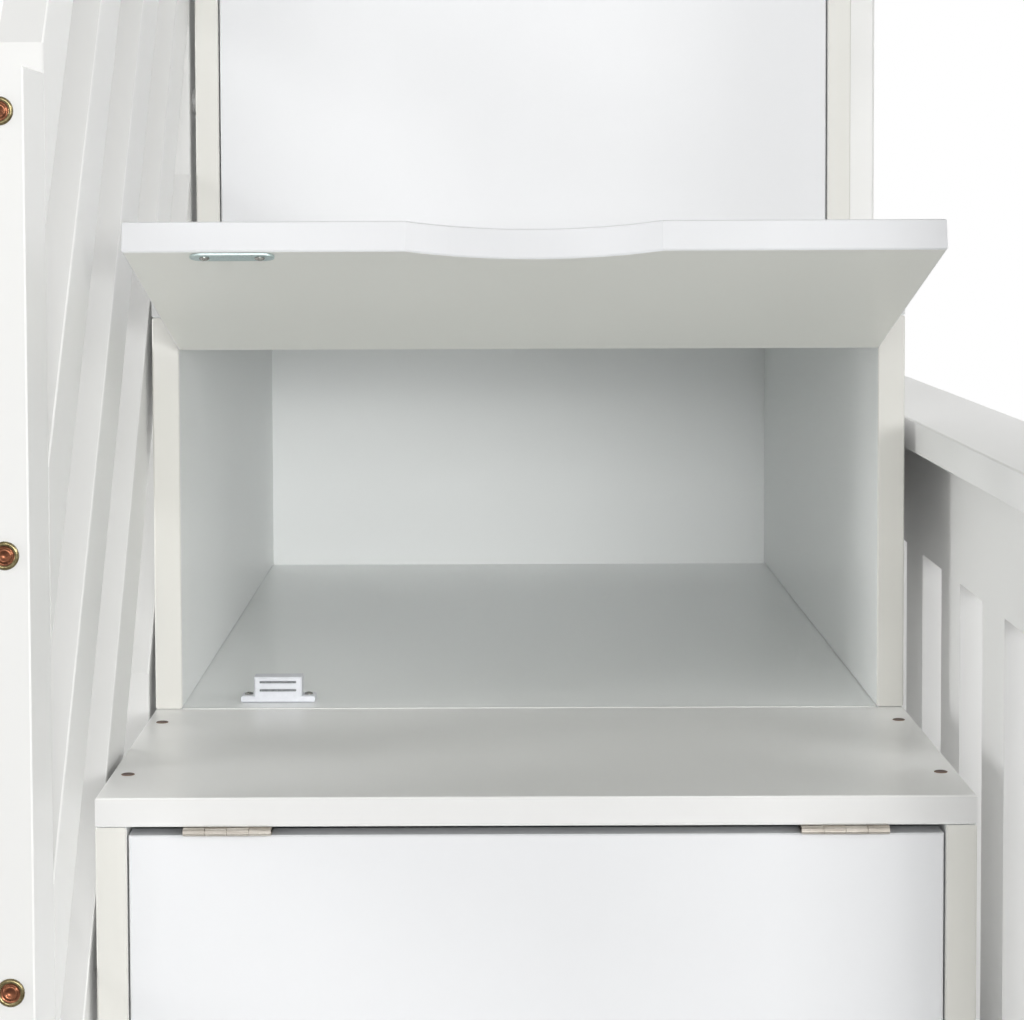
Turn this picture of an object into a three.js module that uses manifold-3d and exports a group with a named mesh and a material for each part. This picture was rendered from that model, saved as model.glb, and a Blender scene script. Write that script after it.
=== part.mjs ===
// Bunk bed with a slide and a storage staircase, in millimetres.
// X runs along the bed, Y from the front to the wall, Z up. Until the last line, X = 0 is the
// staircase's outer side, Y = 0 the front of its lowest step and Z = 0 the floor.
import * as THREE from "three";
import { mergeVertices } from "three/addons/utils/BufferGeometryUtils.js";
import Module from "manifold-3d";

const wasm = await Module();
wasm.setup();

// Staircase
const STEP_COUNT = 4;
const STAIR_WIDTH = 450;
const STEP_RISE = 251;
const STEP_GOING = 228;
const STAIR_DEPTH = 1075;
const TREAD_THICKNESS = 15;
const SIDE_THICKNESS = 16;
const BACK_THICKNESS = 4;

// Flap doors
const DOOR_COUNT = 3;
const DOOR_THICKNESS = 16;
const DOOR_SIDE_CLEARANCE = 1;
const DOOR_BOTTOM_CLEARANCE = 2;
const DOOR_OPEN_DEGREES = 105.5;
const OPEN_STEP_INDEX = 3;
const NOTCH_WIDTH = 130;
const NOTCH_DEPTH = 17;
const NOTCH_STEPS = 18;

// Butt hinges
const HINGE_LENGTH = 45;
const HINGE_INSET = 45;
const KNUCKLE_COUNT = 4;
const KNUCKLE_RADIUS = 1.9;
const PIN_RADIUS = 0.9;
const PIN_CLEARANCE = 0.1;
const LEAF_THICKNESS = 1;
const LEAF_DEPTH = 15;
const KNUCKLE_GAP = 0.3;

// Magnetic catches and their strike plates
const CATCH_OFFSET = 72;
const CATCH_BODY_WIDTH = 29;
const CATCH_EAR_WIDTH = 8;
const CATCH_EAR_HEIGHT = 4;
const CATCH_HEIGHT = 15.5;
const CATCH_DEPTH = 13;
const POLE_WIDTH = 22;
const POLE_THICKNESS = 1.2;
const POLE_REACH = 0.8;
const POLE_HEIGHTS = [7.5, 12.5];
const STRIKE_LENGTH = 43;
const STRIKE_HEIGHT = 12;
const STRIKE_THICKNESS = 1;
const STRIKE_EDGE = 1.5;
const STRIKE_GAP = 0.4;

// Sloping balustrade on the outer side of the staircase
const BALUSTRADE_THICKNESS = 22;
const BALUSTRADE_GAP = 4;
const NEWEL_DEPTH = 50;
const NEWEL_HEIGHT = 865;
const NEWEL_FRONT = 82;
const SLOPE_RAIL_COUNT = 5;
const SLOPE_RAIL_WIDTH = 52;
const SLOPE_RAIL_PITCH = 197.5;
const SLOPE_RAIL_DROP = 30;
const SLOPE_DEGREES = 53.3;
const LANDING_RAIL_COUNT = 3;
const LANDING_POST_ABOVE = 38;

// Bed frame
const BED_GAP = 4.5;
const BED_LENGTH = 2030;
const BED_FRONT = 38;
const BED_WIDTH = 1094;
const POST_SIZE = 70;
const POST_HEIGHT = 1640;
const FRAME_THICKNESS = 22;
const SIDE_RAIL_HEIGHT = 130;
const LOWER_RAIL_BOTTOM = 190;
const UPPER_RAIL_BOTTOM = 1090;

// Slatted end panels and guards
const PANEL_TOP = 674;
const GUARD_DROP = 10;
const CAP_THICKNESS = 19.4;
const CAP_WIDTH = 65.5;
const TOP_RAIL_HEIGHT = 74;
const FOOT_RAIL_HEIGHT = 50;
const SLAT_WIDTH = 60;
const END_SLAT_COUNT = 7;
const ENTRY_SLAT_COUNT = 4;
const FRONT_SLAT_COUNT = 10;
const REAR_SLAT_COUNT = 14;
const TENON = 10;

// Mattress supports
const DECK_SLAT_COUNT = 13;
const DECK_SLAT_WIDTH = 70;
const DECK_SLAT_THICKNESS = 15;
const DECK_DROP = 30;
const CLEAT_SIZE = 25;
const CLEAT_NOTCH = 2;

// Slide
const SLIDE_WIDTH = 440;
const SLIDE_SIDE_GAP = 8;
const SLIDE_DEGREES = 40;
const SLIDE_WALL_THICKNESS = 22;
const SLIDE_WALL_ABOVE = 95;
const SLIDE_WALL_BELOW = 60;
const SLIDE_PANEL_THICKNESS = 12;
const SLIDE_TOP_RADIUS = 150;
const SLIDE_FOOT_RADIUS = 300;
const SLIDE_HEAD = 10;
const SLIDE_RUN_OUT = 150;
const SLIDE_ARC_STEPS = 16;

// Fits
const SEAT_GAP = 0.3;
const EASED_EDGE = 0.8;
const POST_EASED_EDGE = 2;
const SPACER_RADIUS = 9;
const ARC_STEPS = 8;
const ROUND_SIDES = 14;
const CUT_PAST = 1;

// Places that follow from the sizes above
const X_AXIS = new THREE.Vector3(1, 0, 0);
const Y_AXIS = new THREE.Vector3(0, 1, 0);
const Z_AXIS = new THREE.Vector3(0, 0, 1);
const radians = THREE.MathUtils.degToRad;
const bed = {
  x0: STAIR_WIDTH + BED_GAP,
  x1: STAIR_WIDTH + BED_GAP + BED_LENGTH,
  y0: BED_FRONT,
  y1: BED_FRONT + BED_WIDTH,
};
const postInset = (POST_SIZE - FRAME_THICKNESS) / 2;
const capOverhang = (CAP_WIDTH - POST_SIZE) / 2;
const guardTop = POST_HEIGHT - GUARD_DROP;
const innerX0 = bed.x0 + POST_SIZE + SEAT_GAP;
const innerX1 = bed.x1 - POST_SIZE - SEAT_GAP;
const innerY0 = bed.y0 + POST_SIZE + SEAT_GAP;
const innerY1 = bed.y1 - POST_SIZE - SEAT_GAP;
const upperRailTop = UPPER_RAIL_BOTTOM + SIDE_RAIL_HEIGHT;
const stepFront = (step) => (step - 1) * STEP_GOING;
const stepTop = (step) => step * STEP_RISE;
const firstDoorStep = STEP_COUNT - DOOR_COUNT + 1;

const root = new THREE.Group();

// Finishes
const white = () => new THREE.MeshStandardMaterial({ color: 0xeeeeec, roughness: 0.42, metalness: 0 });
const steel = () => new THREE.MeshStandardMaterial({ color: 0xa9a39b, roughness: 0.3, metalness: 1 });
const zinc = () => new THREE.MeshStandardMaterial({ color: 0xbcc6c8, roughness: 0.35, metalness: 1 });
const plastic = () => new THREE.MeshStandardMaterial({ color: 0xe9ebf2, roughness: 0.35, metalness: 0 });

function add(name, geometry, material, parent = root) {
  const mesh = new THREE.Mesh(geometry, material);
  mesh.name = name;
  parent.add(mesh);
}

// Solids for joining and cutting
function solid(geometry) {
  const bare = geometry.index ? geometry.toNonIndexed() : geometry.clone();
  bare.deleteAttribute("normal");
  bare.deleteAttribute("uv");
  const merged = mergeVertices(bare, 1e-4);
  const vertProperties = merged.attributes.position.array;
  const triVerts = new Uint32Array(merged.index.array);
  return new wasm.Manifold(new wasm.Mesh({ numProp: 3, vertProperties, triVerts }));
}

function geometryOf(manifold) {
  const mesh = manifold.getMesh();
  const geometry = new THREE.BufferGeometry();
  geometry.setAttribute("position", new THREE.BufferAttribute(new Float32Array(mesh.vertProperties), 3));
  geometry.setIndex(new THREE.BufferAttribute(new Uint32Array(mesh.triVerts), 1));
  geometry.computeVertexNormals();
  return geometry;
}

function join(geometries) {
  return geometryOf(geometries.map(solid).reduce((whole, piece) => whole.add(piece)));
}

function cut(geometry, tools) {
  return geometryOf(tools.map(solid).reduce((whole, tool) => whole.subtract(tool), solid(geometry)));
}

// Turns an outline drawn in (u, v) and extruded along w into place.
function place(geometry, u, v, w, origin = new THREE.Vector3()) {
  return geometry.applyMatrix4(new THREE.Matrix4().makeBasis(u, v, w).setPosition(origin));
}

// A board between two corners, its broad faces square to the axis named thin, with eased edges.
function board([x0, y0, z0], [x1, y1, z1], thin, ease = EASED_EDGE) {
  const frames = {
    x: { u: Y_AXIS, v: Z_AXIS, w: X_AXIS, size: [y1 - y0, z1 - z0, x1 - x0] },
    y: { u: Z_AXIS, v: X_AXIS, w: Y_AXIS, size: [z1 - z0, x1 - x0, y1 - y0] },
    z: { u: X_AXIS, v: Y_AXIS, w: Z_AXIS, size: [x1 - x0, y1 - y0, z1 - z0] },
  };
  const { u, v, w, size } = frames[thin];
  const [width, height, thickness] = size;
  const outline = new THREE.Shape();
  outline.moveTo(ease, ease);
  outline.lineTo(width - ease, ease);
  outline.lineTo(width - ease, height - ease);
  outline.lineTo(ease, height - ease);
  const geometry = new THREE.ExtrudeGeometry(outline, {
    depth: thickness - 2 * ease,
    bevelThickness: ease,
    bevelSize: ease,
    bevelSegments: 1,
  });
  geometry.translate(0, 0, ease);
  return place(geometry, u, v, w, new THREE.Vector3(x0, y0, z0));
}

// A plain block, for tenons and pieces that are joined to others.
function block([x0, y0, z0], [x1, y1, z1]) {
  const geometry = new THREE.BoxGeometry(x1 - x0, y1 - y0, z1 - z0);
  return geometry.translate((x0 + x1) / 2, (y0 + y1) / 2, (z0 + z1) / 2);
}

// A round bar along X.
function roundBar(x0, x1, y, z, radius) {
  const geometry = new THREE.CylinderGeometry(radius, radius, x1 - x0, ROUND_SIDES);
  return geometry.rotateZ(Math.PI / 2).translate((x0 + x1) / 2, y, z);
}

// Staircase boxes: a pair of sides on each tread, a tread over them, one back behind them all
function stairBoards() {
  const rightX = STAIR_WIDTH - SIDE_THICKNESS;
  for (let step = 1; step <= STEP_COUNT; step++) {
    const front = stepFront(step);
    const bottom = step === 1 ? 0 : stepTop(step - 1) + SEAT_GAP;
    const underside = stepTop(step) - TREAD_THICKNESS;
    const top = underside - SEAT_GAP;
    const left = board([0, front, bottom], [SIDE_THICKNESS, STAIR_DEPTH, top], "x");
    const right = board([rightX, front, bottom], [STAIR_WIDTH, STAIR_DEPTH, top], "x");
    add(`step_${step}_side_left`, left, white());
    add(`step_${step}_side_right`, withBedSpacers(right, front, bottom, top), white());
    const tread = board([0, front, underside], [STAIR_WIDTH, STAIR_DEPTH, stepTop(step)], "z");
    add(`step_${step}_tread`, tread, white());
  }
  const backY0 = STAIR_DEPTH + SEAT_GAP;
  const backY1 = backY0 + BACK_THICKNESS;
  const back = board([0, backY0, 0], [STAIR_WIDTH, backY1, stepTop(STEP_COUNT)], "y", EASED_EDGE / 2);
  add("stair_back", back, white());
  const riserX0 = SIDE_THICKNESS + SEAT_GAP;
  const riserTop = stepTop(1) - TREAD_THICKNESS - SEAT_GAP;
  const riser = board([riserX0, 0, 0], [STAIR_WIDTH - riserX0, SIDE_THICKNESS, riserTop], "y");
  add("step_1_riser", riser, white());
}

// The side beside the end panel's top rail is bolted to it through two round spacers.
function withBedSpacers(side, front, bottom, top) {
  const middle = PANEL_TOP - CAP_THICKNESS - TOP_RAIL_HEIGHT / 2;
  if (middle < bottom + SPACER_RADIUS || middle > top - SPACER_RADIUS) return side;
  const x0 = STAIR_WIDTH - SIDE_THICKNESS / 2;
  const x1 = bed.x0 + postInset - SEAT_GAP;
  const third = (STAIR_DEPTH - front) / 3;
  const spacers = [front + third, front + 2 * third].map((y) => roundBar(x0, x1, y, middle, SPACER_RADIUS));
  return join([side, ...spacers]);
}

// Flap door, hung at its top edge, with a shallow finger notch in its free edge
const hingeDrop = SEAT_GAP + KNUCKLE_RADIUS;
const doorWidth = STAIR_WIDTH - 2 * (SIDE_THICKNESS + DOOR_SIDE_CLEARANCE);
const doorX0 = SIDE_THICKNESS + DOOR_SIDE_CLEARANCE;
const doorHeight = STEP_RISE - TREAD_THICKNESS - 2 * hingeDrop - DOOR_BOTTOM_CLEARANCE;

function doorPanel() {
  const middle = doorWidth / 2;
  const ease = EASED_EDGE;
  const quarter = Math.PI / 2;
  const depth = NOTCH_DEPTH - ease;
  const radius = (NOTCH_WIDTH ** 2 / 4 + depth ** 2) / (2 * depth);
  const spread = Math.asin(NOTCH_WIDTH / 2 / radius);
  const outline = new THREE.Shape();
  outline.moveTo(ease, doorHeight - ease);
  outline.lineTo(ease, ease);
  outline.absarc(middle, NOTCH_DEPTH - radius, radius, quarter + spread, quarter - spread, true);
  outline.lineTo(doorWidth - ease, ease);
  outline.lineTo(doorWidth - ease, doorHeight - ease);
  const geometry = new THREE.ExtrudeGeometry(outline, {
    depth: DOOR_THICKNESS - 2 * ease,
    bevelThickness: ease,
    bevelSize: ease,
    bevelSegments: 1,
    curveSegments: NOTCH_STEPS,
  });
  // Drawn from its free edge up; the local origin is the hinge axis. The broad front looks along -Y.
  geometry.translate(doorX0, -hingeDrop - doorHeight, ease);
  const origin = new THREE.Vector3(0, hingeDrop + DOOR_THICKNESS, 0);
  return place(geometry, X_AXIS, Z_AXIS, Y_AXIS.clone().negate(), origin);
}

// One leaf of a butt hinge about the local X axis: a plate tangent to the barrel, its own knuckles,
// and on the fixed leaf the pin that runs through them all. side is 1 for the leaf under the tread
// and -1 for the leaf on the door.
function hingeLeaf(x0, side) {
  const pitch = HINGE_LENGTH / KNUCKLE_COUNT;
  const plateZ = [side * KNUCKLE_RADIUS, side * (KNUCKLE_RADIUS - LEAF_THICKNESS)].sort((a, b) => a - b);
  const clearOfBarrel = KNUCKLE_RADIUS + KNUCKLE_GAP;
  const pieces = [block([x0, clearOfBarrel, plateZ[0]], [x0 + HINGE_LENGTH, LEAF_DEPTH, plateZ[1]])];
  const own = side > 0 ? 0 : 1;
  const bores = [];
  for (let knuckle = own; knuckle < KNUCKLE_COUNT; knuckle += 2) {
    const from = x0 + knuckle * pitch + KNUCKLE_GAP / 2;
    const to = from + pitch - KNUCKLE_GAP;
    pieces.push(block([from, 0, plateZ[0]], [to, clearOfBarrel + LEAF_THICKNESS, plateZ[1]]));
    pieces.push(roundBar(from, to, 0, 0, KNUCKLE_RADIUS));
    bores.push(roundBar(from - CUT_PAST, to + CUT_PAST, 0, 0, PIN_RADIUS + PIN_CLEARANCE));
  }
  if (side < 0) return cut(join(pieces), bores);
  return join([...pieces, roundBar(x0, x0 + HINGE_LENGTH, 0, 0, PIN_RADIUS)]);
}

// Oblong steel plate on the door's inner face, near its free edge
function strikePlate() {
  const radius = STRIKE_HEIGHT / 2;
  const half = STRIKE_LENGTH / 2 - radius;
  const outline = new THREE.Shape();
  outline.absarc(half, 0, radius, -Math.PI / 2, Math.PI / 2, false);
  outline.absarc(-half, 0, radius, Math.PI / 2, (3 * Math.PI) / 2, false);
  const geometry = new THREE.ExtrudeGeometry(outline, {
    depth: STRIKE_THICKNESS,
    bevelEnabled: false,
    curveSegments: ARC_STEPS,
  });
  const z = -hingeDrop - doorHeight + STRIKE_EDGE + radius;
  const inner = hingeDrop + DOOR_THICKNESS + SEAT_GAP;
  const origin = new THREE.Vector3(CATCH_OFFSET, inner + STRIKE_THICKNESS, z);
  return place(geometry, X_AXIS, Z_AXIS, Y_AXIS.clone().negate(), origin);
}

// Magnetic catch on the floor of the box: housing, two screw ears and two pole plates
function catchBody(step) {
  const floor = stepTop(step - 1) + SEAT_GAP;
  const poleFront =
    stepFront(step) + DOOR_THICKNESS + SEAT_GAP + STRIKE_THICKNESS + STRIKE_GAP;
  const front = poleFront + POLE_REACH;
  const x0 = CATCH_OFFSET - CATCH_BODY_WIDTH / 2;
  const x1 = CATCH_OFFSET + CATCH_BODY_WIDTH / 2;
  const housing = board([x0, front, floor], [x1, front + CATCH_DEPTH, floor + CATCH_HEIGHT], "y");
  const ears = board(
    [x0 - CATCH_EAR_WIDTH, front, floor],
    [x1 + CATCH_EAR_WIDTH, front + CATCH_DEPTH, floor + CATCH_EAR_HEIGHT],
    "z",
  );
  const poles = POLE_HEIGHTS.map((height) =>
    block(
      [CATCH_OFFSET - POLE_WIDTH / 2, poleFront, floor + height - POLE_THICKNESS / 2],
      [CATCH_OFFSET + POLE_WIDTH / 2, front + CATCH_DEPTH / 2, floor + height + POLE_THICKNESS / 2],
    ),
  );
  return join([housing, ears, ...poles]);
}

function flapDoor(step) {
  const axisY = stepFront(step) - hingeDrop;
  const axisZ = stepTop(step) - TREAD_THICKNESS - hingeDrop;
  const fixed = new THREE.Group();
  const moving = new THREE.Group();
  fixed.position.set(0, axisY, axisZ);
  moving.position.copy(fixed.position);
  moving.rotation.x = step === OPEN_STEP_INDEX ? -radians(DOOR_OPEN_DEGREES) : 0;
  root.add(fixed, moving);
  add(`door_${step}_panel`, doorPanel(), white(), moving);
  add(`door_${step}_strike_plate`, strikePlate(), zinc(), moving);
  const hinges = { left: HINGE_INSET, right: STAIR_WIDTH - HINGE_INSET - HINGE_LENGTH };
  for (const [side, x0] of Object.entries(hinges)) {
    add(`door_${step}_hinge_${side}_fixed_leaf`, hingeLeaf(x0, 1), steel(), fixed);
    add(`door_${step}_hinge_${side}_door_leaf`, hingeLeaf(x0, -1), steel(), moving);
  }
  add(`door_${step}_catch`, catchBody(step), plastic());
}

// Balustrade: a newel, sloping rails behind it, and the guard round the landing that they run into
const railX0 = -BALUSTRADE_GAP - BALUSTRADE_THICKNESS;
const railX1 = -BALUSTRADE_GAP;
const railSlope = Math.tan(radians(SLOPE_DEGREES));
const railPlumb = SLOPE_RAIL_WIDTH / Math.cos(radians(SLOPE_DEGREES));
const newelBack = NEWEL_FRONT + NEWEL_DEPTH;
const landingFront = stepFront(STEP_COUNT);
const railMiddle = (index, y) =>
  NEWEL_HEIGHT - SLOPE_RAIL_DROP - index * SLOPE_RAIL_PITCH + (y - newelBack) * railSlope;

function slopingRail(index) {
  const last = index === SLOPE_RAIL_COUNT - 1;
  const y0 = (last ? stepFront(OPEN_STEP_INDEX) : newelBack) + SEAT_GAP;
  const y1 = landingFront - SEAT_GAP;
  const ease = EASED_EDGE;
  const half = railPlumb / 2 - ease / Math.cos(radians(SLOPE_DEGREES));
  const outline = new THREE.Shape();
  outline.moveTo(y0 + ease, railMiddle(index, y0 + ease) - half);
  outline.lineTo(y1 - ease, railMiddle(index, y1 - ease) - half);
  outline.lineTo(y1 - ease, railMiddle(index, y1 - ease) + half);
  outline.lineTo(y0 + ease, railMiddle(index, y0 + ease) + half);
  const geometry = new THREE.ExtrudeGeometry(outline, {
    depth: BALUSTRADE_THICKNESS - 2 * ease,
    bevelThickness: ease,
    bevelSize: ease,
    bevelSegments: 1,
  });
  geometry.translate(0, 0, ease);
  return place(geometry, Y_AXIS, Z_AXIS, X_AXIS, new THREE.Vector3(railX0, 0, 0));
}

function landingGuard() {
  const back = STAIR_DEPTH;
  const top = railMiddle(0, landingFront) + SLOPE_RAIL_WIDTH / 2 + LANDING_POST_ABOVE;
  const front = board([railX0, landingFront, 0], [railX1, landingFront + NEWEL_DEPTH, top], "x");
  const rear = board([railX0, back - NEWEL_DEPTH, 0], [railX1, back, top], "x");
  const pieces = [front, rear];
  for (let index = 0; index < LANDING_RAIL_COUNT; index++) {
    const middle = railMiddle(index, landingFront);
    const y0 = landingFront + NEWEL_DEPTH - TENON;
    const y1 = back - NEWEL_DEPTH + TENON;
    const z0 = middle - SLOPE_RAIL_WIDTH / 2;
    pieces.push(block([railX0, y0, z0], [railX1, y1, z0 + SLOPE_RAIL_WIDTH]));
  }
  for (const y of [landingFront + NEWEL_DEPTH / 2, back - NEWEL_DEPTH / 2]) {
    for (const step of [1, STEP_COUNT]) {
      const z = stepTop(step) - STEP_RISE / 2;
      pieces.push(roundBar(railX1 - CUT_PAST, -SEAT_GAP, y, z, SPACER_RADIUS));
    }
  }
  return join(pieces);
}

function balustrade() {
  add("newel_front", board([railX0, NEWEL_FRONT, 0], [railX1, newelBack, NEWEL_HEIGHT], "x"), white());
  for (let index = 0; index < SLOPE_RAIL_COUNT; index++) {
    add(`stair_rail_${index + 1}`, slopingRail(index), white());
  }
  add("landing_guard", landingGuard(), white());
}

// Upright slats evenly spaced between two rails, along Y at the bed's ends or along X at its sides
function slats(along, from, to, across, count, z0, z1) {
  const gap = (to - from - count * SLAT_WIDTH) / (count + 1);
  const made = [];
  for (let index = 0; index < count; index++) {
    const start = from + gap + index * (SLAT_WIDTH + gap);
    const end = start + SLAT_WIDTH;
    const low = along === "y" ? [across, start, z0] : [start, across, z0];
    const high =
      along === "y" ? [across + FRAME_THICKNESS, end, z1] : [end, across + FRAME_THICKNESS, z1];
    made.push(block(low, high));
  }
  return made;
}

// A panel at one end of the bed: a foot rail from post to post, slats, a top rail and a wider cap.
// Beside an entry the slats, rail and cap stop at entryY, in a stile.
function endPanel(postX, z0, top, count, entryY) {
  const x0 = postX + postInset;
  const x1 = x0 + FRAME_THICKNESS;
  const y1 = entryY ?? innerY1;
  const slatEnd = entryY ? entryY - SLAT_WIDTH : y1;
  const capX0 = postX - capOverhang;
  const footTop = z0 + SIDE_RAIL_HEIGHT;
  const railTop = top - CAP_THICKNESS;
  const railBottom = railTop - TOP_RAIL_HEIGHT;
  const inCap = railTop + CAP_THICKNESS / 2;
  const pieces = [
    block([x0, innerY0, z0], [x1, innerY1, footTop]),
    block([x0, innerY0, railBottom], [x1, y1, inCap]),
    board([capX0, innerY0, railTop], [capX0 + CAP_WIDTH, y1, top], "z"),
    ...slats("y", innerY0, slatEnd, x0, count, footTop - TENON, railBottom + TENON),
  ];
  if (entryY) pieces.push(block([x0, slatEnd, z0], [x1, y1, inCap]));
  return join(pieces);
}

// A guard on one long side, standing on the upper side rail. Beside the slide it ends in a stile.
function sideGuard(x1, postY, count, gate) {
  const x0 = innerX0;
  const y0 = postY + postInset;
  const y1 = y0 + FRAME_THICKNESS;
  const z0 = upperRailTop + SEAT_GAP;
  const footTop = z0 + FOOT_RAIL_HEIGHT;
  const capY0 = postY - capOverhang;
  const railTop = guardTop - CAP_THICKNESS;
  const railBottom = railTop - TOP_RAIL_HEIGHT;
  const inCap = railTop + CAP_THICKNESS / 2;
  const slatEnd = gate ? x1 - SLAT_WIDTH : x1;
  // Where caps are wider than the posts, this one stops short of the end panels' own caps.
  const capShort = Math.max(capOverhang, 0);
  const capX1 = gate ? x1 : x1 - capShort;
  const pieces = [
    block([x0, y0, z0], [x1, y1, footTop]),
    block([x0, y0, railBottom], [x1, y1, inCap]),
    board([x0 + capShort, capY0, railTop], [capX1, capY0 + CAP_WIDTH, guardTop], "z"),
    ...slats("x", x0, slatEnd, y0, count, footTop - TENON, railBottom + TENON),
  ];
  if (gate) pieces.push(block([slatEnd, y0, z0], [x1, y1, inCap]));
  return join(pieces);
}

// Cross slats let into a cleat along each side rail
function mattressSupport(railTop) {
  const top = railTop - DECK_DROP;
  const underside = top - DECK_SLAT_THICKNESS;
  const y0 = bed.y0 + postInset + FRAME_THICKNESS + SEAT_GAP;
  const y1 = bed.y1 - postInset - FRAME_THICKNESS - SEAT_GAP;
  const pitch = (innerX1 - innerX0 - DECK_SLAT_WIDTH) / (DECK_SLAT_COUNT - 1);
  const cleatTop = underside + CLEAT_NOTCH;
  const cleatBottom = cleatTop - CLEAT_SIZE;
  const pieces = [
    block([innerX0, y0, cleatBottom], [innerX1, y0 + CLEAT_SIZE, cleatTop]),
    block([innerX0, y1 - CLEAT_SIZE, cleatBottom], [innerX1, y1, cleatTop]),
  ];
  for (let index = 0; index < DECK_SLAT_COUNT; index++) {
    const x0 = innerX0 + index * pitch;
    pieces.push(block([x0, y0, underside], [x0 + DECK_SLAT_WIDTH, y1, top]));
  }
  return join(pieces);
}

function bedFrame() {
  const ends = { left: bed.x0, right: bed.x1 - POST_SIZE };
  const sides = { front: bed.y0, rear: bed.y1 - POST_SIZE };
  const levels = { lower: LOWER_RAIL_BOTTOM, upper: UPPER_RAIL_BOTTOM };
  for (const [end, x0] of Object.entries(ends)) {
    for (const [side, y0] of Object.entries(sides)) {
      const post = board([x0, y0, 0], [x0 + POST_SIZE, y0 + POST_SIZE, POST_HEIGHT], "x", POST_EASED_EDGE);
      add(`post_${side}_${end}`, post, white());
    }
    const lower = endPanel(x0, levels.lower, PANEL_TOP, END_SLAT_COUNT);
    add(`lower_end_panel_${end}`, lower, white());
  }
  for (const [level, z0] of Object.entries(levels)) {
    const top = z0 + SIDE_RAIL_HEIGHT;
    for (const [side, postY] of Object.entries(sides)) {
      const y0 = postY + postInset;
      const rail = board([innerX0, y0, z0], [innerX1, y0 + FRAME_THICKNESS, top], "y");
      add(`${level}_side_rail_${side}`, rail, white());
    }
    add(`${level}_mattress_slats`, mattressSupport(top), white());
  }
  // The upper bunk is entered from the landing, between this guard's stile and the rear post.
  const entry = endPanel(ends.left, levels.upper, guardTop, ENTRY_SLAT_COUNT, landingFront);
  add("upper_end_guard_left", entry, white());
  add("upper_end_guard_right", endPanel(ends.right, levels.upper, guardTop, END_SLAT_COUNT), white());
  const gateX = innerX1 - SLIDE_WIDTH - 2 * SLIDE_SIDE_GAP;
  add("upper_guard_front", sideGuard(gateX, sides.front, FRONT_SLAT_COUNT, true), white());
  add("upper_guard_rear", sideGuard(innerX1, sides.rear, REAR_SLAT_COUNT, false), white());
}

// Slide: two side boards and the panel between them, bent along one line. Distances run forward
// from the front of the upper side rail; the panel's upper surface is the line that all follow.
const slideTop = upperRailTop + SEAT_GAP + SLIDE_PANEL_THICKNESS;
const slideFoot = SLIDE_WALL_BELOW;
const slideAngle = radians(SLIDE_DEGREES);
const topFall = SLIDE_TOP_RADIUS * (1 - Math.cos(slideAngle));
const footFall = SLIDE_FOOT_RADIUS * (1 - Math.cos(slideAngle));
const straightRun = (slideTop - topFall - slideFoot - footFall) / Math.tan(slideAngle);
const footStart =
  SLIDE_HEAD + (SLIDE_TOP_RADIUS + SLIDE_FOOT_RADIUS) * Math.sin(slideAngle) + straightRun;
const slideEnd = footStart + SLIDE_RUN_OUT;

function slideBand(start, above, below) {
  const quarter = Math.PI / 2;
  const outline = new THREE.Shape();
  const topCentre = slideTop - SLIDE_TOP_RADIUS;
  const footCentre = slideFoot + SLIDE_FOOT_RADIUS;
  const bent = quarter - slideAngle;
  outline.moveTo(start, slideTop - below);
  outline.lineTo(start, slideTop + above);
  outline.absarc(SLIDE_HEAD, topCentre, SLIDE_TOP_RADIUS + above, quarter, bent, true);
  outline.absarc(footStart, footCentre, SLIDE_FOOT_RADIUS - above, -quarter - slideAngle, -quarter, false);
  if (above > below) {
    outline.lineTo(slideEnd - above, slideFoot + above);
    outline.absarc(slideEnd - above, slideFoot, above, quarter, 0, true);
  } else {
    outline.lineTo(slideEnd, slideFoot + above);
  }
  outline.lineTo(slideEnd, slideFoot - below);
  outline.absarc(footStart, footCentre, SLIDE_FOOT_RADIUS + below, -quarter, -quarter - slideAngle, true);
  outline.absarc(SLIDE_HEAD, topCentre, SLIDE_TOP_RADIUS - below, bent, quarter, false);
  return outline;
}

function slideStrip(outline, x0, x1) {
  const geometry = new THREE.ExtrudeGeometry(outline, {
    depth: x1 - x0,
    bevelEnabled: false,
    curveSegments: SLIDE_ARC_STEPS,
  });
  const forward = Y_AXIS.clone().negate();
  const origin = new THREE.Vector3(x1, bed.y0 + postInset, 0);
  return place(geometry, forward, Z_AXIS, X_AXIS.clone().negate(), origin);
}

function slide() {
  const x1 = innerX1 - SLIDE_SIDE_GAP;
  const x0 = x1 - SLIDE_WIDTH;
  const wall = slideBand(SEAT_GAP, SLIDE_WALL_ABOVE, SLIDE_WALL_BELOW);
  const panel = slideBand(-FRAME_THICKNESS, 0, SLIDE_PANEL_THICKNESS);
  const pieces = [
    slideStrip(wall, x0, x0 + SLIDE_WALL_THICKNESS),
    slideStrip(wall, x1 - SLIDE_WALL_THICKNESS, x1),
    slideStrip(panel, x0, x1),
  ];
  add("slide", join(pieces), white());
}

stairBoards();
for (let step = firstDoorStep; step <= STEP_COUNT; step++) flapDoor(step);
balustrade();
bedFrame();
slide();

// The origin is the middle of the whole object's footprint, on the floor.
const extent = new THREE.Box3().setFromObject(root);
root.position.set(-(extent.min.x + extent.max.x) / 2, -(extent.min.y + extent.max.y) / 2, -extent.min.z);

export default root;
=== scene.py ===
# Materials, small fittings, camera and light for the bunk bed with slide.
# Blender's lengths are metres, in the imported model's frame: X along the bed, Y to the wall, Z up.
# Sizes written here are millimetres, unless a comment says otherwise.
import math

import bmesh
import bpy
from mathutils import Matrix, Vector


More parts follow.
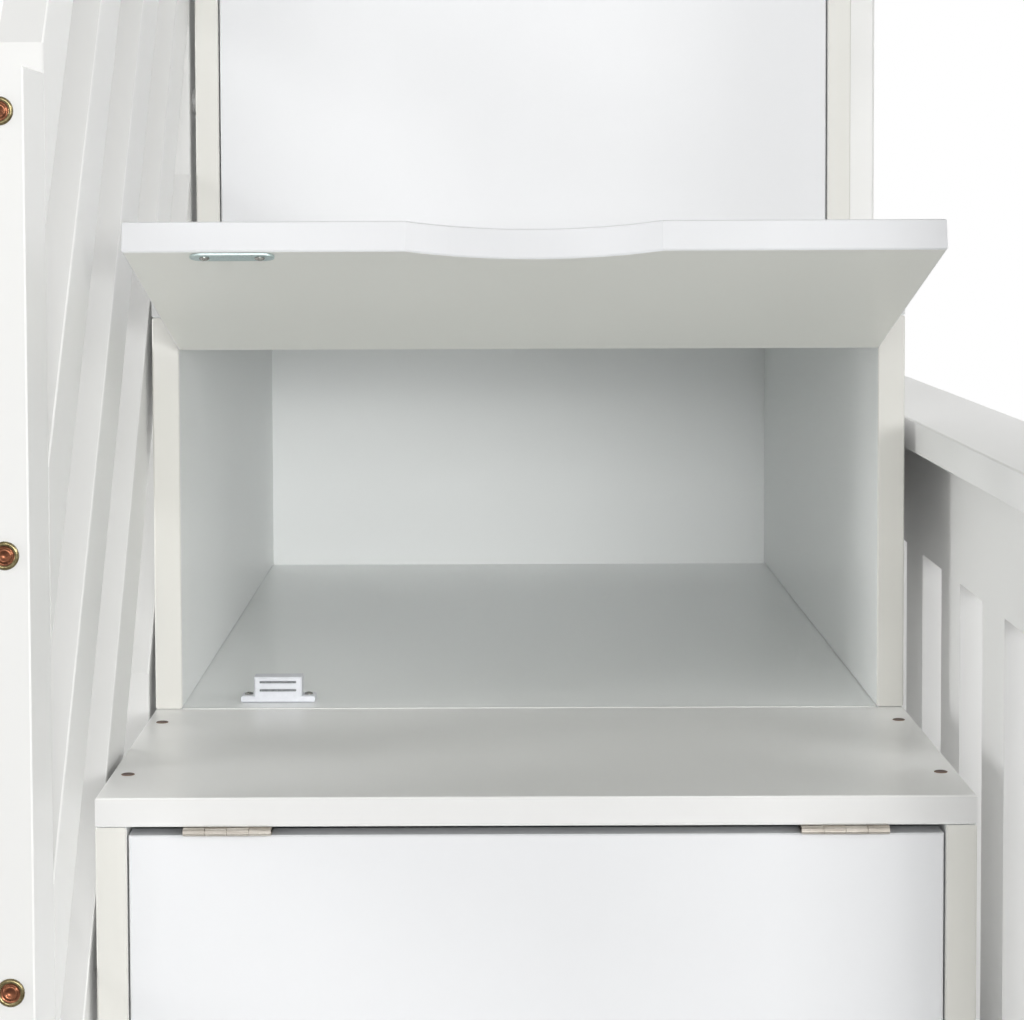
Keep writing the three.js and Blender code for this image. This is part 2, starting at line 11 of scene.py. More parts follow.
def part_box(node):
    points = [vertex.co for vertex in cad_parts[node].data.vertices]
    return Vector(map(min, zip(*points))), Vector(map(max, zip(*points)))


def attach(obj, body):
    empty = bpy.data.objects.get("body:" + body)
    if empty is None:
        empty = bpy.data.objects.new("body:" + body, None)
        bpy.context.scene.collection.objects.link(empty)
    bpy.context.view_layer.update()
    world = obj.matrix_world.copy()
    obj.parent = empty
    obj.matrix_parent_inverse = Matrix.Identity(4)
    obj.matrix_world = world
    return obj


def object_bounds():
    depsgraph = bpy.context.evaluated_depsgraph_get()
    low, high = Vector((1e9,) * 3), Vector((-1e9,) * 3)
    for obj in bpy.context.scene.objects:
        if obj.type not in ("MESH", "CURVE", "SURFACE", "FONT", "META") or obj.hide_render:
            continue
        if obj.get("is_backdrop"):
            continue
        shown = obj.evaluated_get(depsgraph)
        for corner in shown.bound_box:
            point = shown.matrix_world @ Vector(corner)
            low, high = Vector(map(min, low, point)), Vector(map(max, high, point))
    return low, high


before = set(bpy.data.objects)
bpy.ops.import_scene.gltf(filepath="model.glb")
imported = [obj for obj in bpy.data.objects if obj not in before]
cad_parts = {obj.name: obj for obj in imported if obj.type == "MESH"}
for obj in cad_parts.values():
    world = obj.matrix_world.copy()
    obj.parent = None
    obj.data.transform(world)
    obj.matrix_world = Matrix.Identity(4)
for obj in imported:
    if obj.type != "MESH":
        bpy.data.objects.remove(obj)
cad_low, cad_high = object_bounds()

MM = 0.001

# Staircase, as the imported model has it
STEPS = (1, 2, 3, 4)
DOOR_STEPS = (2, 3, 4)
OPEN_STEP = 3
OPEN_DEGREES = 105.5
STAIR_MIDDLE = 225
TREAD_THICKNESS = 15
DOOR_THICKNESS = 16
HINGE_AXIS_DROP = 2.2
HINGE_STARTS = (45, 360)
LEAF_FACE = 0.9
LEAF_SCREW_SPOTS = (8, 22.5, 37)
LEAF_SCREW_DEPTH = 9
STRIKE_GAP = 0.3
STRIKE_THICKNESS = 1.0
STRIKE_FROM_EDGE = 7.5
STRIKE_SCREW_OFFSETS = (-14, 14)
CATCH_POLE = (22.2, 2.5, 1.35)
CATCH_POLE_DEPTH = 1.2
CATCH_POLE_HEIGHTS = (7.5, 12.5)
CATCH_EAR_INSET = 4.2
CATCH_EAR_DEPTH = 7.5
CATCH_EAR_HEIGHT = 4
EDGE_STRIP = (417, 1.6, 0.5)
TREAD_CAP_INSET = 9
TREAD_CAP_BACKS = (54, 190)
LANDING_CAP_BACKS = (54, 190, 330)

# Bolts of the balustrade and the bed
NEWEL_BOLT_HEIGHTS = (845, 646.5, 448, 249.5)
RAIL_BOLT_SHARES = (0.25, 0.75)
PANEL_BOLT_ABOVE_FOOT = 65
PANEL_BOLT_BELOW_TOP = 56

# Camera, fitted to the photograph
CAMERA = (204.3, -1015.1, 796.7)
CAMERA_DEGREES = {"yaw": 0.067, "pitch": 2.855, "roll": -0.212}
FOCAL_PIXELS = 2465
PRINCIPAL_POINT = (490.9, 341.0)
PHOTO_SIZE = (1024, 1020)
SENSOR = 36.0

stair_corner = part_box("step_1_tread")[0]
scene = bpy.context.scene


def at(x, y, z):
    """A point given in millimetres from the staircase's outer front corner on the floor."""
    return Vector((stair_corner.x + x * MM, stair_corner.y + y * MM, z * MM))


def step_front(step):
    return (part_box(f"step_{step}_tread")[0].y - stair_corner.y) / MM


def step_top(step):
    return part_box(f"step_{step}_tread")[1].z / MM


def linear(red, green, blue):
    """A colour written in the 0 to 255 levels of a screen, as the shader wants it."""
    def channel(level):
        v = level / 255
        return v / 12.92 if v <= 0.04045 else ((v + 0.055) / 1.055) ** 2.4
    return (channel(red), channel(green), channel(blue), 1.0)


# Node helpers
NOISE_LOW, NOISE_HIGH = 0.3, 0.7


class Nodes:
    """The nodes of a material or of the world, with short ways to add and link them."""
    def __init__(self, owner, output="ShaderNodeOutputMaterial"):
        owner.use_nodes = True
        self.tree = owner.node_tree
        self.tree.nodes.clear()
        self.output = self.add(output)

    def add(self, kind, **settings):
        node = self.tree.nodes.new(kind)
        for key, value in settings.items():
            setattr(node, key, value)
        return node

    def link(self, source, target):
        self.tree.links.new(source, target)

    def feed(self, socket, value):
        """Sets a socket to a plain number or colour, or links it to another node's output."""
        if isinstance(value, (int, float, tuple)):
            socket.default_value = value
        else:
            self.link(value, socket)

    def noise(self, coordinates, scale, detail=2.0, roughness=0.5):
        node = self.add("ShaderNodeTexNoise")
        node.inputs["Scale"].default_value = scale
        node.inputs["Detail"].default_value = detail
        node.inputs["Roughness"].default_value = roughness
        self.link(coordinates, node.inputs["Vector"])
        return node.outputs["Fac"]

    def remap(self, value, low, high, to_low, to_high):
        node = self.add("ShaderNodeMapRange")
        ends = (("From Min", low), ("From Max", high), ("To Min", to_low), ("To Max", to_high))
        for name, number in ends:
            node.inputs[name].default_value = number
        self.link(value, node.inputs["Value"])
        return node.outputs["Result"]

    def spread(self, noise, to_low, to_high):
        """The usual reach of a noise, spread over another range."""
        return self.remap(noise, NOISE_LOW, NOISE_HIGH, to_low, to_high)

    def mix(self, factor, first, second):
        node = self.add("ShaderNodeMix", data_type="RGBA")
        self.link(factor, node.inputs["Factor"])
        self.feed(node.inputs[6], first)
        self.feed(node.inputs[7], second)
        return node.outputs[2]

    def math(self, operation, first, second):
        node = self.add("ShaderNodeMath", operation=operation)
        self.feed(node.inputs[0], first)
        self.feed(node.inputs[1], second)
        return node.outputs["Value"]

    def seen(self):
        """One for what the camera sees, also in reflections and through glass, and zero for the rest."""
        ray = self.add("ShaderNodeLightPath")
        either = self.math("MAXIMUM", ray.outputs["Is Camera Ray"], ray.outputs["Is Glossy Ray"])
        return self.math("MAXIMUM", either, ray.outputs["Is Transmission Ray"])

    def shader(self):
        """The principled shader, linked to the output."""
        node = self.add("ShaderNodeBsdfPrincipled")
        self.link(node.outputs["BSDF"], self.output.inputs["Surface"])
        return node

    def bump(self, shader, height, strength, distance):
        """A bump on the shader. The distance is in metres."""
        node = self.add("ShaderNodeBump")
        node.inputs["Strength"].default_value = strength
        node.inputs["Distance"].default_value = distance
        self.link(height, node.inputs["Height"])
        self.link(node.outputs["Normal"], shader.inputs["Normal"])


# Finish of the surfaces. Noise scales are per metre.
FACING_LIMIT = 0.7
MOTTLE_SCALE = 2.6
MOTTLE_MOST = 0.03
MOTTLE_TINT = (205, 203, 198)
GLOSS_SCALE = 60.0
GLOSS_SPREAD = (-0.01, 0.012)
LACQUER_IOR = 1.48
PEEL_SCALE = 420.0
PEEL_DEPTH = 0.0004
METAL_GLOSS_SPREAD = (0.08, -0.05)
METAL_BUMP = 0.12
PLASTIC_SHADE = 0.93
PLASTIC_GLOSS_SPREAD = (-0.04, 0.06)
PLASTIC_BUMP = 0.1
FINE_DEPTH = 0.0001


def lacquer(name, tint, roughness=0.36, zones=(), peel=0.05):
    """White lacquered board: faint mottling, fine orange peel, and zones of another tone by which way a
    face looks, which are painted light and shade.
    A zone is (colour, axis, sign) for faces that look that way, or (colour, axis, sign, behind)
    for those that also lie behind a place along Y, in metres."""
    material = bpy.data.materials.new(name)
    nodes = Nodes(material)
    shader = nodes.shader()
    coordinates = nodes.add("ShaderNodeTexCoord")
    place = coordinates.outputs["Object"]
    colour = linear(*tint)
    if zones:
        facing = nodes.add("ShaderNodeSeparateXYZ")
        nodes.link(coordinates.outputs["Normal"], facing.inputs["Vector"])
        spot = nodes.add("ShaderNodeSeparateXYZ")
        nodes.link(place, spot.inputs["Vector"])
    for zone in zones:
        shade, axis, sign = zone[:3]
        toward = nodes.math("MULTIPLY", facing.outputs[axis], sign)
        factor = nodes.math("GREATER_THAN", toward, FACING_LIMIT)
        if len(zone) > 3:
            behind = nodes.math("GREATER_THAN", spot.outputs["Y"], zone[3])
            factor = nodes.math("MULTIPLY", factor, behind)
        colour = nodes.mix(factor, colour, linear(*shade))
    mottle = nodes.spread(nodes.noise(place, MOTTLE_SCALE, 3.0), 0.0, MOTTLE_MOST)
    nodes.link(nodes.mix(mottle, colour, linear(*MOTTLE_TINT)), shader.inputs["Base Color"])
    smoother, rougher = (roughness + step for step in GLOSS_SPREAD)
    gloss = nodes.spread(nodes.noise(place, GLOSS_SCALE, 3.0), smoother, rougher)
    nodes.link(gloss, shader.inputs["Roughness"])
    shader.inputs["IOR"].default_value = LACQUER_IOR
    nodes.bump(shader, nodes.noise(place, PEEL_SCALE, 2.0), peel, PEEL_DEPTH)
    return material


def metal(name, light, dark, roughness, scale=900.0, stretch=(1, 1, 1)):
    """Plated metal with a fine uneven finish."""
    material = bpy.data.materials.new(name)
    nodes = Nodes(material)
    shader = nodes.shader()
    coordinates = nodes.add("ShaderNodeTexCoord")
    mapping = nodes.add("ShaderNodeMapping")
    mapping.inputs["Scale"].default_value = stretch
    nodes.link(coordinates.outputs["Object"], mapping.inputs["Vector"])
    grain = nodes.noise(mapping.outputs["Vector"], scale, 4.0, 0.6)
    tone = nodes.spread(grain, 0.0, 1.0)
    nodes.link(nodes.mix(tone, linear(*dark), linear(*light)), shader.inputs["Base Color"])
    shader.inputs["Metallic"].default_value = 1.0
    rougher, smoother = (roughness + step for step in METAL_GLOSS_SPREAD)
    nodes.link(nodes.spread(grain, rougher, smoother), shader.inputs["Roughness"])
    nodes.bump(shader, grain, METAL_BUMP, FINE_DEPTH)
    return material


def plastic(name, tint, roughness, scale=300.0):
    """Moulded plastic with a fine grain."""
    material = bpy.data.materials.new(name)
    nodes = Nodes(material)
    shader = nodes.shader()
    coordinates = nodes.add("ShaderNodeTexCoord")
    grain = nodes.noise(coordinates.outputs["Object"], scale, 3.0)
    darker = tuple(level * PLASTIC_SHADE for level in tint)
    nodes.link(nodes.mix(grain, linear(*tint), linear(*darker)), shader.inputs["Base Color"])
    smoother, rougher = (roughness + step for step in PLASTIC_GLOSS_SPREAD)
    nodes.link(nodes.spread(grain, smoother, rougher), shader.inputs["Roughness"])
    nodes.bump(shader, grain, PLASTIC_BUMP, FINE_DEPTH)
    return material


# Tones of the one white lacquer, set face by face so that each renders at its wanted level under these
# lamps: painted light and shade. Faces the lamps hardly reach are lighter, faces they meet head on are
# darker.
OUTSIDE = (240, 240, 239)
# The inside tone is lighter than the outside one: painted light for the box interiors, which the lamps
# hardly reach.
INSIDE_PAINTED_LIGHT = (252, 254, 253)
# Tread tops are lighter and tread edges darker: painted light and shade by facing.
TREAD_TOP = (243, 243, 241)
TREAD_EDGE = (225, 225, 224)
# The front edges' cream is a warm tint of their own, set darker than the outer faces as painted shade
# for faces that meet the lamps head on.
CREAM_WITH_PAINTED_SHADE = (223, 222, 216)
# Door fronts, which face the lamps, are darker and door backs lighter: painted shade and painted light.
DOOR_FRONT = (225, 226, 228)
DOOR_BACK = (246, 247, 241)
# The darker newel tone also paints the rails' front faces, and the lighter rail tone also paints the
# newel's right side: painted shade and painted light by facing.
NEWEL = (225, 225, 223)
RAIL = (242, 242, 240)
# The posts are darker than the panels to bring their rendered level down: painted shade.
POST = (238, 238, 236)
PANEL = (251, 251, 250)
# Panel tops and fronts are darker than the panels' sides: painted shade by facing.
PANEL_TOP = (240, 240, 238)
PANEL_FRONT = (230, 230, 229)
SLIDE = (226, 226, 225)

# Side boards: inner faces take the lighter inside tone as painted light, front edges the darker cream as
# painted shade.
LEFT_BOARD_ZONES = ((INSIDE_PAINTED_LIGHT, "X", 1), (CREAM_WITH_PAINTED_SHADE, "Y", -1))
RIGHT_BOARD_ZONES = ((INSIDE_PAINTED_LIGHT, "X", -1), (CREAM_WITH_PAINTED_SHADE, "Y", -1))
PANEL_ZONES = ((PANEL_TOP, "Z", 1), (PANEL_FRONT, "Y", -1))

looks = {
    "side_left": lacquer("side_left_lacquer", OUTSIDE, zones=LEFT_BOARD_ZONES),
    "side_right": lacquer("side_right_lacquer", OUTSIDE, zones=RIGHT_BOARD_ZONES),
    # The back board takes the lighter inside tone: painted light.
    "back": lacquer("back_board_foil", INSIDE_PAINTED_LIGHT, 0.42),
    "newel": lacquer("newel_lacquer", NEWEL, 0.38, zones=((RAIL, "X", 1),)),
    "rail": lacquer("rail_lacquer", RAIL, 0.38, zones=((NEWEL, "Y", -1),)),
    "post": lacquer("post_lacquer", POST, 0.38),
    "frame": lacquer("frame_lacquer", PANEL, 0.38, zones=PANEL_ZONES),
    "slide": lacquer("slide_lacquer", SLIDE, 0.26, peel=0.03),
    # The hinge steel's grain is stretched into streaks along its length, and its dark streaks are a
    # painted reflection of the dark line the barrel shows.
    "steel": metal("hinge_nickel", (218, 212, 203), (160, 152, 142), 0.28, 260.0, (0.2, 4, 4)),
    "zinc": metal("zinc_plate", (216, 230, 230), (192, 208, 208), 0.4),
    "poles": metal("catch_pole_steel", (120, 122, 124), (70, 72, 74), 0.3, 500.0, (4, 1, 1)),
    "screws": metal("screw_nickel", (196, 196, 192), (120, 118, 112), 0.24),
    # The brass is darker than plain brass: painted shade standing in for the dark surroundings its bolts
    # reflect.
    "brass": metal("bolt_brass", (140, 130, 98), (84, 74, 50), 0.22, 500.0),
    "copper": metal("bolt_socket_copper", (142, 92, 68), (82, 52, 40), 0.28, 500.0),
    "catch": plastic("catch_plastic", (236, 238, 244), 0.34),
    "plug": plastic("cover_cap_brown", (126, 98, 78), 0.45),
    "plug_core": plastic("cover_cap_core_brown", (84, 62, 50), 0.5),
}
# Each door's inner face takes the lighter back tone: painted light for its shaded side.
for step in DOOR_STEPS:
    inner_face = ("Z", -1) if step == OPEN_STEP else ("Y", 1)
    looks[f"door_{step}"] = lacquer(
        f"door_{step}_lacquer", DOOR_FRONT, 0.34, zones=((DOOR_BACK, *inner_face),))
for step in STEPS:
    # The part of a tread behind the next step's front is the floor of that step's box. It takes the
    # lighter inside tone as painted light, as do the tread undersides, while tread tops are lighter and
    # front edges darker: painted light and shade by facing.
    behind = cad_high.y
    if step < STEPS[-1]:
        behind = stair_corner.y + step_front(step + 1) * MM
    looks[f"tread_{step}"] = lacquer(
        f"tread_{step}_lacquer", TREAD_EDGE, 0.3,
        zones=((TREAD_TOP, "Z", 1), (INSIDE_PAINTED_LIGHT, "Z", 1, behind), (INSIDE_PAINTED_LIGHT, "Z", -1)), peel=0.04)

LOOK_OF_ONE = {"stair_back": "back", "slide": "slide", "step_1_riser": "newel", "newel_front": "newel",
               "landing_guard": "rail"}


def look_of(node):
    """The look of a node of the model, from its name."""
    if node.startswith("step_") and node.endswith("_tread"):
        return "tread_" + node.split("_")[1]
    if "_side_left" in node:
        return "side_left"
    if "_side_right" in node:
        return "side_right"
    if node.endswith("_leaf"):
        return "steel"
    if node.endswith("strike_plate"):
        return "zinc"
    if node.endswith("_catch"):
        return "catch"
    if node.startswith("door_"):
        return node.replace("_panel", "")
    if node.startswith("stair_rail_"):
        return "rail"
    if node.startswith("post_"):
        return "post"
    return LOOK_OF_ONE.get(node, "frame")


for node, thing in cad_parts.items():
    thing.data.materials.clear()
    thing.data.materials.append(looks[look_of(node)])


def ease_edges(thing, width):
    """Rounds a piece's edges by a width in millimetres."""
    bevel = thing.modifiers.new("eased_edges", "BEVEL")
    bevel.width = width * MM
    bevel.segments = 2
    return bevel


# Joined pieces come out of the model with sharp edges, so these are eased here.
EASED = ("lower_end_panel_left", "lower_end_panel_right", "upper_end_guard_left",
         "upper_end_guard_right", "upper_guard_front", "upper_guard_rear", "slide",
         "lower_mattress_slats", "upper_mattress_slats")
EASED_WIDTH = 1.2
EASED_ANGLE = 50
for node in EASED:
    bevel = ease_edges(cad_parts[node], EASED_WIDTH)
    bevel.limit_method = "ANGLE"
    bevel.angle_limit = math.radians(EASED_ANGLE)


# Small fittings
def turned(profile, segments=28):
    """A closed turned shape about Z from (radius, height) points, on the axis at both ends."""
    points = []
    faces = []
    rings = []
    for radius, height in profile:
        if radius == 0:
            rings.append([len(points)])
            points.append(Vector((0, 0, height * MM)))
            continue
        ring = []
        for index in range(segments):
            angle = 2 * math.pi * index / segments
            ring.append(len(points))
            x, y = radius * MM * math.cos(angle), radius * MM * math.sin(angle)
            points.append(Vector((x, y, height * MM)))
        rings.append(ring)
    for band, (low, high) in enumerate(zip(rings, rings[1:])):
        for index in range(segments):
            following = (index + 1) % segments
            if len(low) == 1:
                corners = (low[0], high[following], high[index])
            elif len(high) == 1:
                corners = (low[index], low[following], high[0])
            else:
                corners = (low[index], low[following], high[following], high[index])
            faces.append((band, corners))
    return points, faces


def slab(width, depth, height):
    """A small plate centred on the origin."""
    x, y, z = width * MM / 2, depth * MM / 2, height * MM / 2
    ends = (-1, 1)
    points = [Vector((sx * x, sy * y, sz * z)) for sx in ends for sy in ends for sz in ends]
    quads = ((0, 1, 3, 2), (4, 6, 7, 5), (0, 4, 5, 1), (2, 3, 7, 6), (0, 2, 6, 4), (1, 5, 7, 3))
    return points, [(0, quad) for quad in quads]


def pose_at(point, normal):
    """The matrix that stands a shape on a point, its Z along the normal."""
    turn = Vector(normal).to_track_quat("Z", "Y").to_matrix().to_4x4()
    return Matrix.Translation(point) @ turn


def gather(name, shape, places, materials, body, second=(), smooth=True, ease=0.0):
    """One object made of a copy of the shape at each place, which rides on a body. Bands named in
    second get the second material."""
    points, faces = shape
    mesh = bpy.data.meshes.new(name)
    form = bmesh.new()
    for matrix in places:
        made = [form.verts.new(matrix @ point) for point in points]
        for band, corners in faces:
            face = form.faces.new([made[corner] for corner in corners])
            face.smooth = smooth
            face.material_index = 1 if band in second else 0
    bmesh.ops.recalc_face_normals(form, faces=form.faces)
    form.to_mesh(mesh)
    form.free()
    for material in materials:
        mesh.materials.append(looks[material])
    thing = bpy.data.objects.new(name, mesh)
    scene.collection.objects.link(thing)
    if ease:
        ease_edges(thing, ease)
    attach(thing, body)


FRONT, LEFT, UP, DOWN, BACK = (0, -1, 0), (-1, 0, 0), (0, 0, 1), (0, 0, -1), (0, 1, 0)
BOLT = turned([(0, 0), (6.5, 0), (6.5, 0.5), (6.1, 1.0), (5.1, 1.15), (4.6, 0.8), (3.9, 0.35),
               (3.5, 0.4), (3.3, 1.0), (2.2, 1.1), (1.7, 0.45), (0, 0.4)])
BOLT_SOCKET = (5, 6, 7, 8, 9, 10)
CAP = turned([(0, 0), (3.6, 0), (3.6, 0.15), (3.2, 0.35), (2.5, 0.3), (1.9, 0.2), (0, 0.18)], 24)
CAP_CORE = (3, 4, 5)
SCREW = turned([(0, 0), (2.6, 0), (2.6, 0.35), (2.2, 0.85), (1.3, 1.15), (0.8, 1.15), (0.6, 0.7),
                (0, 0.6)], 20)
FLUSH_SCREW = turned([(0, 0), (2.3, 0), (2.2, 0.3), (1.2, 0.42), (0.9, 0.2), (0, 0.15)], 18)

# Bolts through the newel into the sloping rails
newel_low, newel_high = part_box("newel_front")
newel_middle = (newel_low.x + newel_high.x) / 2
newel_bolts = [pose_at(Vector((newel_middle, newel_low.y, z * MM)), FRONT) for z in NEWEL_BOLT_HEIGHTS]
gather("newel_bolts", BOLT, newel_bolts, ("brass", "copper"), "bed", BOLT_SOCKET)

# Bolts through the posts: into the side rails from the left, into the end panels from the front.
# The posts' outer right and rear faces are the object's own limits, so no bolt head stands there.
post_bolts = []
for side in ("front", "rear"):
    post_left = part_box(f"post_{side}_left")[0].x
    for level in ("lower", "upper"):
        rail_low, rail_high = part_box(f"{level}_side_rail_{side}")
        rail_middle = (rail_low.y + rail_high.y) / 2
        for share in RAIL_BOLT_SHARES:
            z = rail_low.z + (rail_high.z - rail_low.z) * share
            post_bolts.append(pose_at(Vector((post_left, rail_middle, z)), LEFT))
for end in ("left", "right"):
    low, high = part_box(f"post_front_{end}")
    for panel in (f"lower_end_panel_{end}", f"upper_end_guard_{end}"):
        panel_low, panel_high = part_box(panel)
        for z in (panel_low.z + PANEL_BOLT_ABOVE_FOOT * MM, panel_high.z - PANEL_BOLT_BELOW_TOP * MM):
            post_bolts.append(pose_at(Vector(((low.x + high.x) / 2, low.y, z)), FRONT))
gather("post_bolts", BOLT, post_bolts, ("brass", "copper"), "bed", BOLT_SOCKET)

# Brown cover caps over the screws that hold each tread to its sides
caps = []
for step in STEPS:
    tread_low, tread_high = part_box(f"step_{step}_tread")
    for x in (tread_low.x + TREAD_CAP_INSET * MM, tread_high.x - TREAD_CAP_INSET * MM):
        for back in TREAD_CAP_BACKS if step < STEPS[-1] else LANDING_CAP_BACKS:
            caps.append(pose_at(Vector((x, tread_low.y + back * MM, tread_high.z)), UP))
gather("tread_cover_caps", CAP, caps, ("plug", "plug_core"), "bed", CAP_CORE)


def hinge_axis(step):
    """The left end of a door's hinge axis."""
    return at(0, step_front(step) - HINGE_AXIS_DROP, step_top(step) - TREAD_THICKNESS - HINGE_AXIS_DROP)


def door_place(step, point, normal):
    """Places a shape on a door: the point is in millimetres from the hinge axis with the door closed."""
    matrix = pose_at(Vector(point) * MM, normal)
    if step == OPEN_STEP:
        matrix = Matrix.Rotation(-math.radians(OPEN_DEGREES), 4, "X") @ matrix
    return Matrix.Translation(hinge_axis(step)) @ matrix


closed_low, closed_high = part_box("door_2_panel")
door_height = (closed_high.z - closed_low.z) / MM
strike_low, strike_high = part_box("door_2_strike_plate")
strike_x = ((strike_low.x + strike_high.x) / 2 - stair_corner.x) / MM
strike_y = HINGE_AXIS_DROP + DOOR_THICKNESS + STRIKE_GAP + STRIKE_THICKNESS
strike_z = -HINGE_AXIS_DROP - door_height + STRIKE_FROM_EDGE
leaf_screws = [start + spot for start in HINGE_STARTS for spot in LEAF_SCREW_SPOTS]

for step in DOOR_STEPS:
    body = f"door_{step}"
    on_door = [door_place(step, (x, LEAF_SCREW_DEPTH, -LEAF_FACE), UP) for x in leaf_screws]
    gather(f"door_{step}_leaf_screws", FLUSH_SCREW, on_door, ("screws",), body)
    under_tread = [pose_at(hinge_axis(step) + Vector((x, LEAF_SCREW_DEPTH, LEAF_FACE)) * MM, DOWN)
                   for x in leaf_screws]
    gather(f"door_{step}_fixed_leaf_screws", FLUSH_SCREW, under_tread, ("screws",), "bed")

    # Screws of the strike plate, on the door's inner face near its free edge
    spots = [door_place(step, (strike_x + offset, strike_y, strike_z), BACK)
             for offset in STRIKE_SCREW_OFFSETS]
    gather(f"door_{step}_strike_screws", SCREW, spots, ("screws",), body)

    # Pole plates and ear screws of the magnetic catch
    catch_low, catch_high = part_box(f"door_{step}_catch")
    middle = (catch_low.x + catch_high.x) / 2
    pole_y = catch_low.y + CATCH_POLE_DEPTH * MM
    poles = [Matrix.Translation(Vector((middle, pole_y, catch_low.z + height * MM)))
             for height in CATCH_POLE_HEIGHTS]
    gather(f"door_{step}_pole_plates", slab(*CATCH_POLE), poles, ("poles",), "bed",
           smooth=False, ease=0.25)
    ear_y = catch_low.y + CATCH_EAR_DEPTH * MM
    ear_z = catch_low.z + CATCH_EAR_HEIGHT * MM
    ears = [pose_at(Vector((x, ear_y, ear_z)), UP)
            for x in (catch_low.x + CATCH_EAR_INSET * MM, catch_high.x - CATCH_EAR_INSET * MM)]
    gather(f"door_{step}_catch_screws", SCREW, ears, ("screws",), "bed")

    # Light edge line along the front of the box floor, where the closed door's free edge comes
    strip_y = step_front(step) + EDGE_STRIP[1] / 2
    strip = Matrix.Translation(at(STAIR_MIDDLE, strip_y, step_top(step - 1) + EDGE_STRIP[2] / 2))
    gather(f"box_{step}_floor_edge", slab(*EDGE_STRIP), [strip], ("newel",), "bed",
           smooth=False, ease=0.12)


# Floor: pale to the camera, with the object's shadow near it, fading to the white background far
# away. What it throws back at the object is dimmer, so that the fronts keep their tone.
FLOOR_SEEN = (243, 243, 242)
FLOOR_BOUNCE = (178, 178, 177)
FLOOR_ROUGHNESS = 0.6
FADE_START, FADE_END = 2.6, 4.6
FLOOR_RADIUS = 14.0
FLOOR_DROP = 0.0005
WHITE = (1.0, 1.0, 1.0, 1.0)
floor_material = bpy.data.materials.new("pale_floor")
nodes = Nodes(floor_material)
seen = nodes.seen()
near = nodes.add("ShaderNodeBsdfPrincipled")
nodes.link(nodes.mix(seen, linear(*FLOOR_BOUNCE), linear(*FLOOR_SEEN)), near.inputs["Base Color"])
near.inputs["Roughness"].default_value = FLOOR_ROUGHNESS
white = nodes.add("ShaderNodeEmission")
white.inputs["Color"].default_value = WHITE
white.inputs["Strength"].default_value = 1.0
place = nodes.add("ShaderNodeTexCoord")
distance = nodes.add("ShaderNodeVectorMath", operation="LENGTH")
nodes.link(place.outputs["Object"], distance.inputs[0])
fade = nodes.remap(distance.outputs["Value"], FADE_START, FADE_END, 0.0, 1.0)
blend = nodes.add("ShaderNodeMixShader")
nodes.link(nodes.math("MULTIPLY", fade, seen), blend.inputs["Fac"])
nodes.link(near.outputs["BSDF"], blend.inputs[1])
nodes.link(white.outputs["Emission"], blend.inputs[2])
nodes.link(blend.outputs["Shader"], nodes.output.inputs["Surface"])
floor_mesh = bpy.data.meshes.new("studio_floor")
form = bmesh.new()
bmesh.ops.create_circle(form, cap_ends=True, segments=96, radius=FLOOR_RADIUS)
form.to_mesh(floor_mesh)
form.free()
floor_mesh.materials.append(floor_material)
studio_floor = bpy.data.objects.new("studio_floor", floor_mesh)
studio_floor.location.z = -FLOOR_DROP
scene.collection.objects.link(studio_floor)
studio_floor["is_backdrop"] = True

# World: white to the camera and in reflections, a plain soft light to everything else
SOFT_LEVEL = 0.25
world = bpy.data.worlds.new("studio")
scene.world = world
nodes = Nodes(world, "ShaderNodeOutputWorld")
soft = nodes.add("ShaderNodeBackground")
soft.inputs["Color"].default_value = WHITE
soft.inputs["Strength"].default_value = SOFT_LEVEL
backdrop = nodes.add("ShaderNodeBackground")
backdrop.inputs["Color"].default_value = WHITE
backdrop.inputs["Strength"].default_value = 1.0
choice = nodes.add("ShaderNodeMixShader")
nodes.link(nodes.seen(), choice.inputs["Fac"])
nodes.link(soft.outputs["Background"], choice.inputs[1])
nodes.link(backdrop.outputs["Background"], choice.inputs[2])
nodes.link(choice.outputs["Shader"], nodes.output.inputs["Surface"])

LIGHT_TARGET = (225, 450, 620)


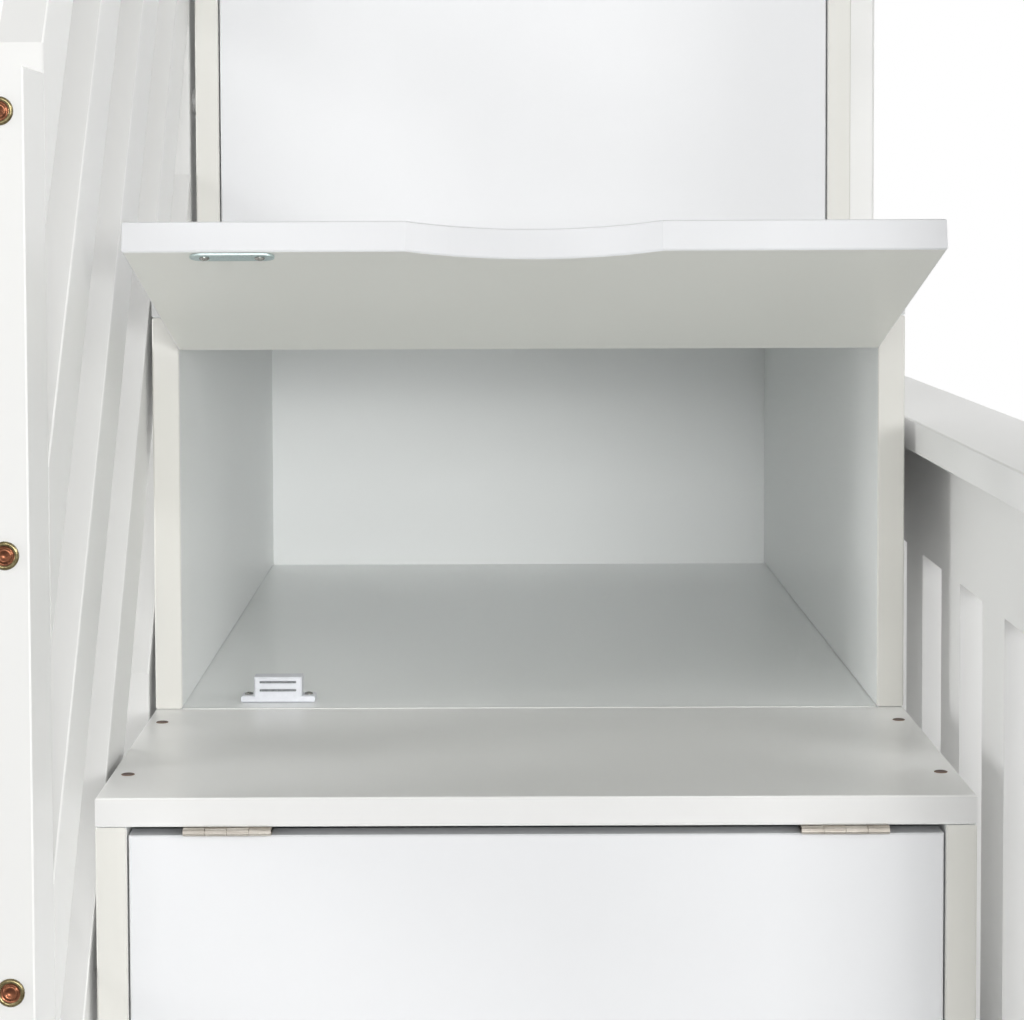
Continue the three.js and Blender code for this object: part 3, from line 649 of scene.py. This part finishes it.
def soft_box(name, azimuth, elevation, distance, size, level):
    """A soft box aimed at the open step. Azimuth 0 is straight in front of it, and 90 to its right.
    Distance and size are in metres. Level is how bright it makes a white surface that faces it,
    where 1 is white."""
    turn, rise = math.radians(azimuth), math.radians(elevation)
    across = math.cos(rise)
    toward = Vector((math.sin(turn) * across, -math.cos(turn) * across, math.sin(rise)))
    lamp = bpy.data.lights.new(name, "AREA")
    lamp.shape = "RECTANGLE"
    lamp.size, lamp.size_y = size
    lamp.energy = level * (math.pi * distance) ** 2
    thing = bpy.data.objects.new(name, lamp)
    thing.location = at(*LIGHT_TARGET) + toward * distance
    thing.rotation_euler = (-toward).to_track_quat("-Z", "Y").to_euler()
    scene.collection.objects.link(thing)


# Lamps, their levels fitted to the photograph's
soft_box("key_light", 14, 4.5, 11, (6.0, 1.6), 0.34)
soft_box("front_light", 0, 10, 11, (6.0, 1.6), 0.24)
soft_box("upper_left_light", -28, 24, 9, (3.0, 1.6), 0.04)
soft_box("left_side_light", -82, 8, 8, (3.0, 3.0), 0.56)
soft_box("right_upper_light", 58, 22, 8, (3.0, 2.0), 0.24)
soft_box("right_side_light", 72, 8, 8, (3.0, 3.0), 0.07)
soft_box("rear_right_light", 150, 22, 8, (3.0, 3.0), 0.28)
soft_box("rear_left_light", -150, 22, 8, (3.0, 3.0), 0.24)

# Camera
camera_data = bpy.data.cameras.new("camera")
camera_data.sensor_fit = "HORIZONTAL"
camera_data.sensor_width = SENSOR
camera_data.lens = FOCAL_PIXELS * SENSOR / PHOTO_SIZE[0]
camera_data.shift_x = (PHOTO_SIZE[0] / 2 - PRINCIPAL_POINT[0]) / PHOTO_SIZE[0]
camera_data.shift_y = (PRINCIPAL_POINT[1] - PHOTO_SIZE[1] / 2) / PHOTO_SIZE[0]
camera_data.clip_start = 0.05
camera_data.clip_end = 100
camera = bpy.data.objects.new("camera", camera_data)
yaw, pitch, roll = (math.radians(CAMERA_DEGREES[key]) for key in ("yaw", "pitch", "roll"))
across = math.cos(pitch)
forward = Vector((-math.sin(yaw) * across, math.cos(yaw) * across, -math.sin(pitch)))
level = Vector((math.cos(yaw), math.sin(yaw), 0))
upward = level.cross(forward)
right = level * math.cos(roll) + upward * math.sin(roll)
above = upward * math.cos(roll) - level * math.sin(roll)
turn = Matrix((right, above, -forward)).transposed().to_4x4()
camera.matrix_world = Matrix.Translation(at(*CAMERA)) @ turn
scene.collection.objects.link(camera)
scene.camera = camera

scene.view_settings.view_transform = "Standard"

low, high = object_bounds()
